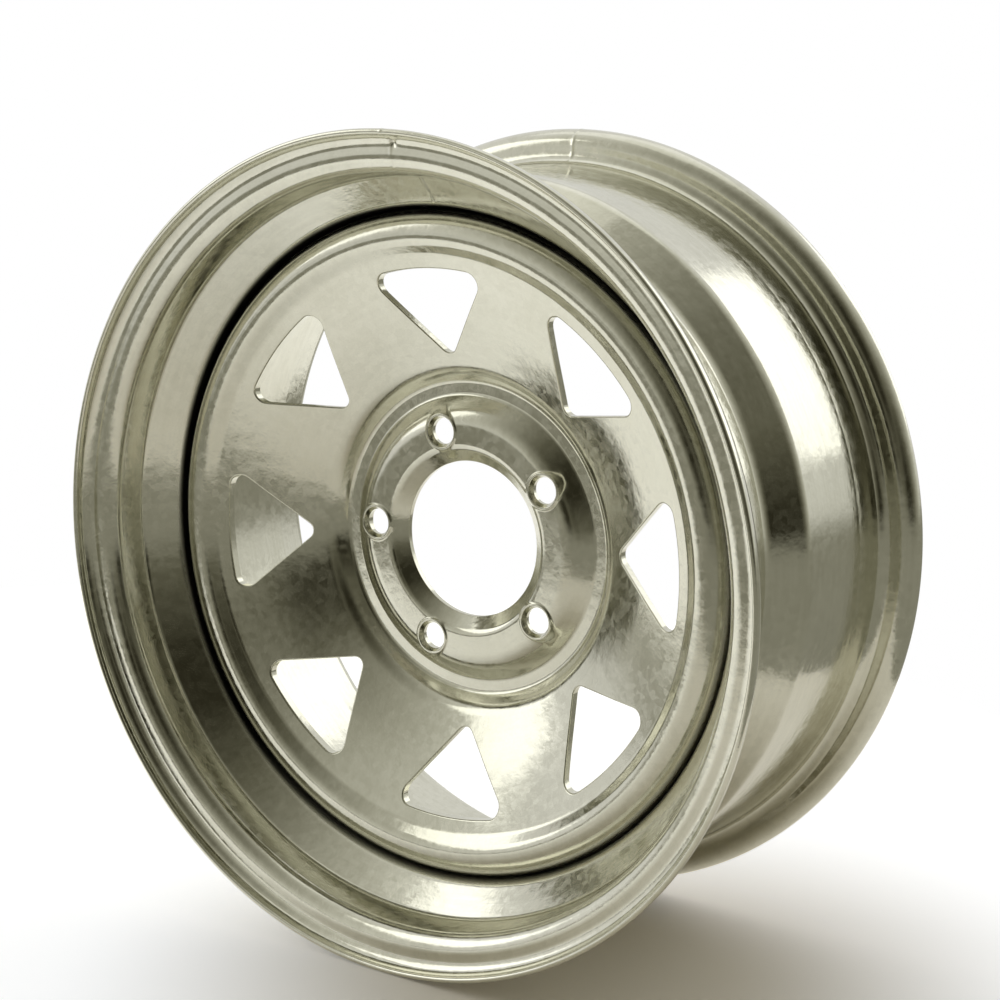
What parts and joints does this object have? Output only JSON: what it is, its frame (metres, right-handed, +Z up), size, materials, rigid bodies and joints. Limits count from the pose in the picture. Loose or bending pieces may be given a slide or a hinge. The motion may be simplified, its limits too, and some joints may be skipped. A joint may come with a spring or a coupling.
{
  "type": "steel wheel rim",
  "caption": "Galvanised pressed-steel trailer wheel: a rolled drop-centre rim welded to a dished disc with triangular windows, a raised stud pad and a centre bore.",
  "frame": {"origin": "on the axle, in the plane of the back of the disc where it bolts to the hub, which is also the middle plane of the rim", "axes": "+Y along the axle, pointing inboard towards the vehicle; +Z up; +X to the right when the outboard face is looked at"},
  "size_m": [0.4148, 0.1744, 0.4146],
  "materials": {
    "rim_zinc": "hot-dip galvanised rolled sheet, satin",
    "disc_zinc": "hot-dip galvanised pressed sheet, satin",
    "weld_zinc": "galvanised weld bead, rippled"
  },
  "bodies": {
    "root": {"rim": "rim_zinc", "disc": "disc_zinc", "weld_beads": "weld_zinc"}
  },
  "joints": []
}
